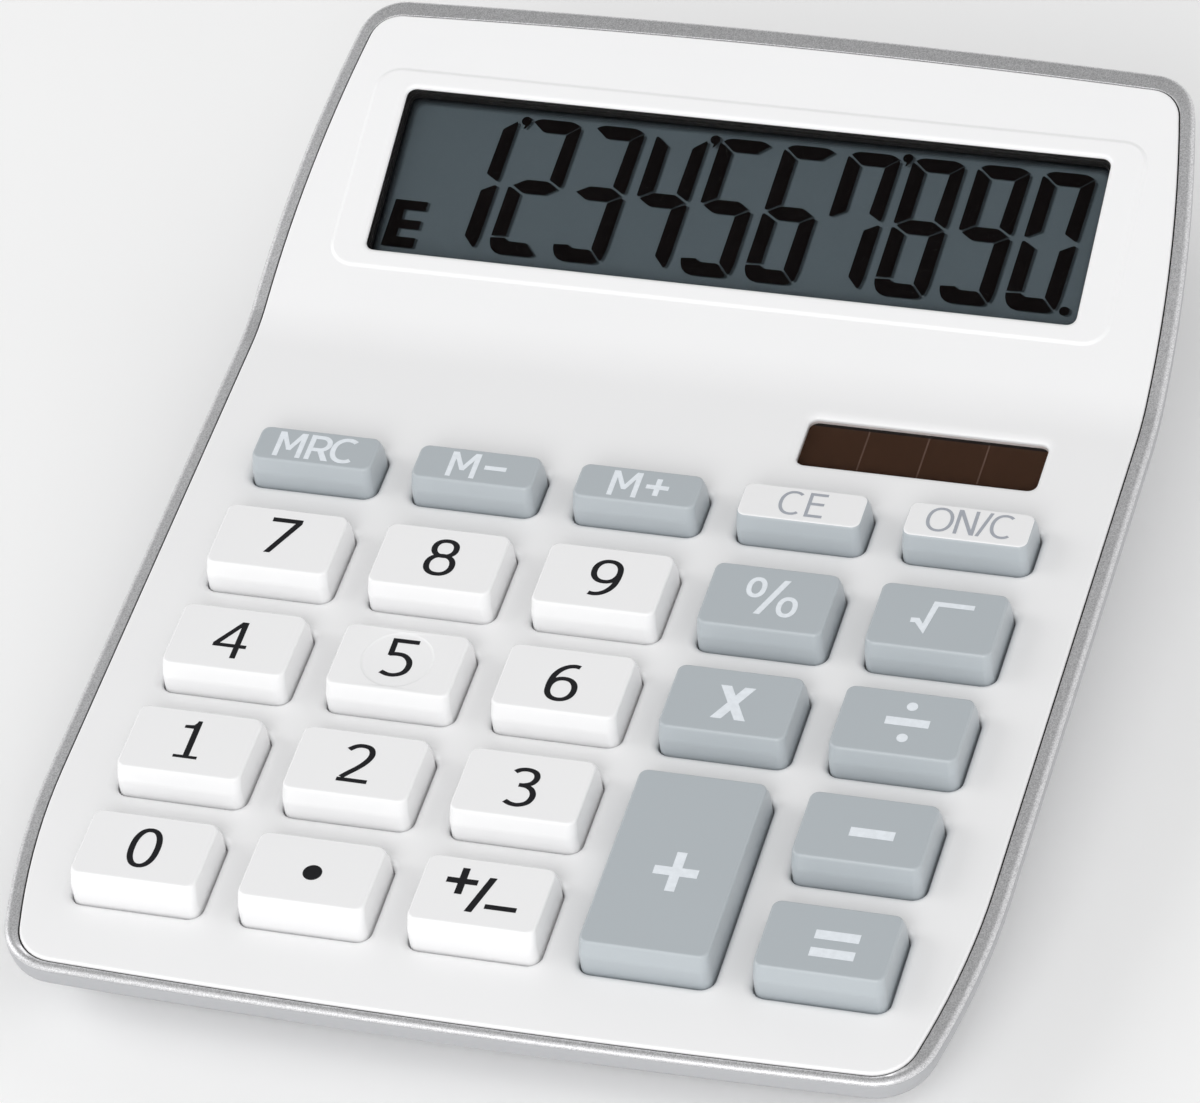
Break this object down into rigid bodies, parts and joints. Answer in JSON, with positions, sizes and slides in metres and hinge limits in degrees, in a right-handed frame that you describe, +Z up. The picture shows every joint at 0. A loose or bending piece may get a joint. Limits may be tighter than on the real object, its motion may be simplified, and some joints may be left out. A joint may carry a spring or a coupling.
{
  "type": "desk calculator",
  "caption": "Desk calculator with a raised tilted display, a solar window, sprung rubber-mat keys, a silver rim, a tapered lower case, a battery door and rubber feet.",
  "frame": {"origin": "middle of the bounding box in plan, at the level of the table the feet stand on", "axes": "+X to the user's right, +Y from the user towards the display, +Z up"},
  "size_m": [0.131, 0.1708, 0.0435],
  "materials": {
    "white_plastic": "smooth, slightly glossy",
    "silver_paint": "silver metallic paint with fine flakes",
    "grey_plastic": "fine matte grain, silver-grey",
    "white_key": "smooth, slightly glossy",
    "grey_key": "smooth, slightly glossy",
    "silicone": "matte silicone",
    "board": "matte brown board",
    "black_resin": "glossy resin",
    "black_sleeve": "glossy sleeve",
    "clear_plastic": "clear, polished",
    "black_plastic": "fine matte grain",
    "lcd": "polished glass over a slate-grey display",
    "reflector": "satin film",
    "film": "satin film",
    "solar_cover": "clear, polished",
    "solar": "dark brown glass cell",
    "wire": "smooth insulation",
    "steel": "bright, fine grain",
    "screw": "zinc plated",
    "rubber": "matte"
  },
  "bodies": {
    "case": {"top_cover": "white_plastic", "silver_frame": "silver_paint", "bottom_case": "grey_plastic", "keypad_mat": "silicone", "key_board": "board", "chip_blob": "black_resin", "capacitor": "black_sleeve", "lcd_window": "clear_plastic", "lcd_holder": "black_plastic", "lcd_glass": "lcd", "lcd_reflector": "reflector", "lcd_flex": "film", "solar_window": "solar_cover", "solar_cell": "solar", "solar_wires": "wire", "battery_wires": "wire", "button_cell": "steel", "contact_positive": "steel", "contact_negative": "steel", "case_screws": "screw", "board_screws": "screw", "holder_screws": "screw", "rubber_feet": "rubber"},
    "battery_door": {"battery_door": "grey_plastic"},
    "key_mrc": {"key_mrc": "grey_key"},
    "key_m_minus": {"key_m_minus": "grey_key"},
    "key_m_plus": {"key_m_plus": "grey_key"},
    "key_ce": {"key_ce": "grey_key"},
    "key_on_c": {"key_on_c": "grey_key"},
    "key_7": {"key_7": "white_key"},
    "key_8": {"key_8": "white_key"},
    "key_9": {"key_9": "white_key"},
    "key_percent": {"key_percent": "grey_key"},
    "key_root": {"key_root": "grey_key"},
    "key_4": {"key_4": "white_key"},
    "key_5": {"key_5": "white_key"},
    "key_6": {"key_6": "white_key"},
    "key_multiply": {"key_multiply": "grey_key"},
    "key_divide": {"key_divide": "grey_key"},
    "key_1": {"key_1": "white_key"},
    "key_2": {"key_2": "white_key"},
    "key_3": {"key_3": "white_key"},
    "key_plus": {"key_plus": "grey_key"},
    "key_minus": {"key_minus": "grey_key"},
    "key_0": {"key_0": "white_key"},
    "key_point": {"key_point": "white_key"},
    "key_sign": {"key_sign": "white_key"},
    "key_equals": {"key_equals": "grey_key"}
  },
  "joints": [
    {"name": "key_mrc_press", "type": "slide", "parent": "case", "child": "key_mrc", "axis": [0, 0.0872, -0.9962], "range_m": [0, 0.0012], "stiffness_N_per_m": 400, "deforming": ["keypad_mat"]},
    {"name": "key_m_minus_press", "type": "slide", "parent": "case", "child": "key_m_minus", "axis": [0, 0.0872, -0.9962], "range_m": [0, 0.0012], "stiffness_N_per_m": 400, "deforming": ["keypad_mat"]},
    {"name": "key_m_plus_press", "type": "slide", "parent": "case", "child": "key_m_plus", "axis": [0, 0.0872, -0.9962], "range_m": [0, 0.0012], "stiffness_N_per_m": 400, "deforming": ["keypad_mat"]},
    {"name": "key_ce_press", "type": "slide", "parent": "case", "child": "key_ce", "axis": [0, 0.0872, -0.9962], "range_m": [0, 0.0012], "stiffness_N_per_m": 400, "deforming": ["keypad_mat"]},
    {"name": "key_on_c_press", "type": "slide", "parent": "case", "child": "key_on_c", "axis": [0, 0.0872, -0.9962], "range_m": [0, 0.0012], "stiffness_N_per_m": 400, "deforming": ["keypad_mat"]},
    {"name": "key_7_press", "type": "slide", "parent": "case", "child": "key_7", "axis": [0, 0.0872, -0.9962], "range_m": [0, 0.0012], "stiffness_N_per_m": 400, "deforming": ["keypad_mat"]},
    {"name": "key_8_press", "type": "slide", "parent": "case", "child": "key_8", "axis": [0, 0.0872, -0.9962], "range_m": [0, 0.0012], "stiffness_N_per_m": 400, "deforming": ["keypad_mat"]},
    {"name": "key_9_press", "type": "slide", "parent": "case", "child": "key_9", "axis": [0, 0.0872, -0.9962], "range_m": [0, 0.0012], "stiffness_N_per_m": 400, "deforming": ["keypad_mat"]},
    {"name": "key_percent_press", "type": "slide", "parent": "case", "child": "key_percent", "axis": [0, 0.0872, -0.9962], "range_m": [0, 0.0012], "stiffness_N_per_m": 400, "deforming": ["keypad_mat"]},
    {"name": "key_root_press", "type": "slide", "parent": "case", "child": "key_root", "axis": [0, 0.0872, -0.9962], "range_m": [0, 0.0012], "stiffness_N_per_m": 400, "deforming": ["keypad_mat"]},
    {"name": "key_4_press", "type": "slide", "parent": "case", "child": "key_4", "axis": [0, 0.0872, -0.9962], "range_m": [0, 0.0012], "stiffness_N_per_m": 400, "deforming": ["keypad_mat"]},
    {"name": "key_5_press", "type": "slide", "parent": "case", "child": "key_5", "axis": [0, 0.0872, -0.9962], "range_m": [0, 0.0012], "stiffness_N_per_m": 400, "deforming": ["keypad_mat"]},
    {"name": "key_6_press", "type": "slide", "parent": "case", "child": "key_6", "axis": [0, 0.0872, -0.9962], "range_m": [0, 0.0012], "stiffness_N_per_m": 400, "deforming": ["keypad_mat"]},
    {"name": "key_multiply_press", "type": "slide", "parent": "case", "child": "key_multiply", "axis": [0, 0.0872, -0.9962], "range_m": [0, 0.0012], "stiffness_N_per_m": 400, "deforming": ["keypad_mat"]},
    {"name": "key_divide_press", "type": "slide", "parent": "case", "child": "key_divide", "axis": [0, 0.0872, -0.9962], "range_m": [0, 0.0012], "stiffness_N_per_m": 400, "deforming": ["keypad_mat"]},
    {"name": "key_1_press", "type": "slide", "parent": "case", "child": "key_1", "axis": [0, 0.0872, -0.9962], "range_m": [0, 0.0012], "stiffness_N_per_m": 400, "deforming": ["keypad_mat"]},
    {"name": "key_2_press", "type": "slide", "parent": "case", "child": "key_2", "axis": [0, 0.0872, -0.9962], "range_m": [0, 0.0012], "stiffness_N_per_m": 400, "deforming": ["keypad_mat"]},
    {"name": "key_3_press", "type": "slide", "parent": "case", "child": "key_3", "axis": [0, 0.0872, -0.9962], "range_m": [0, 0.0012], "stiffness_N_per_m": 400, "deforming": ["keypad_mat"]},
    {"name": "key_plus_press", "type": "slide", "parent": "case", "child": "key_plus", "axis": [0, 0.0872, -0.9962], "range_m": [0, 0.0012], "stiffness_N_per_m": 400, "deforming": ["keypad_mat"]},
    {"name": "key_minus_press", "type": "slide", "parent": "case", "child": "key_minus", "axis": [0, 0.0872, -0.9962], "range_m": [0, 0.0012], "stiffness_N_per_m": 400, "deforming": ["keypad_mat"]},
    {"name": "key_0_press", "type": "slide", "parent": "case", "child": "key_0", "axis": [0, 0.0872, -0.9962], "range_m": [0, 0.0012], "stiffness_N_per_m": 400, "deforming": ["keypad_mat"]},
    {"name": "key_point_press", "type": "slide", "parent": "case", "child": "key_point", "axis": [0, 0.0872, -0.9962], "range_m": [0, 0.0012], "stiffness_N_per_m": 400, "deforming": ["keypad_mat"]},
    {"name": "key_sign_press", "type": "slide", "parent": "case", "child": "key_sign", "axis": [0, 0.0872, -0.9962], "range_m": [0, 0.0012], "stiffness_N_per_m": 400, "deforming": ["keypad_mat"]},
    {"name": "key_equals_press", "type": "slide", "parent": "case", "child": "key_equals", "axis": [0, 0.0872, -0.9962], "range_m": [0, 0.0012], "stiffness_N_per_m": 400, "deforming": ["keypad_mat"]},
    {"name": "battery_door_lift", "type": "slide", "parent": "case", "child": "battery_door", "axis": [0, 0, -1], "range_m": [0, 0.012]}
  ]
}
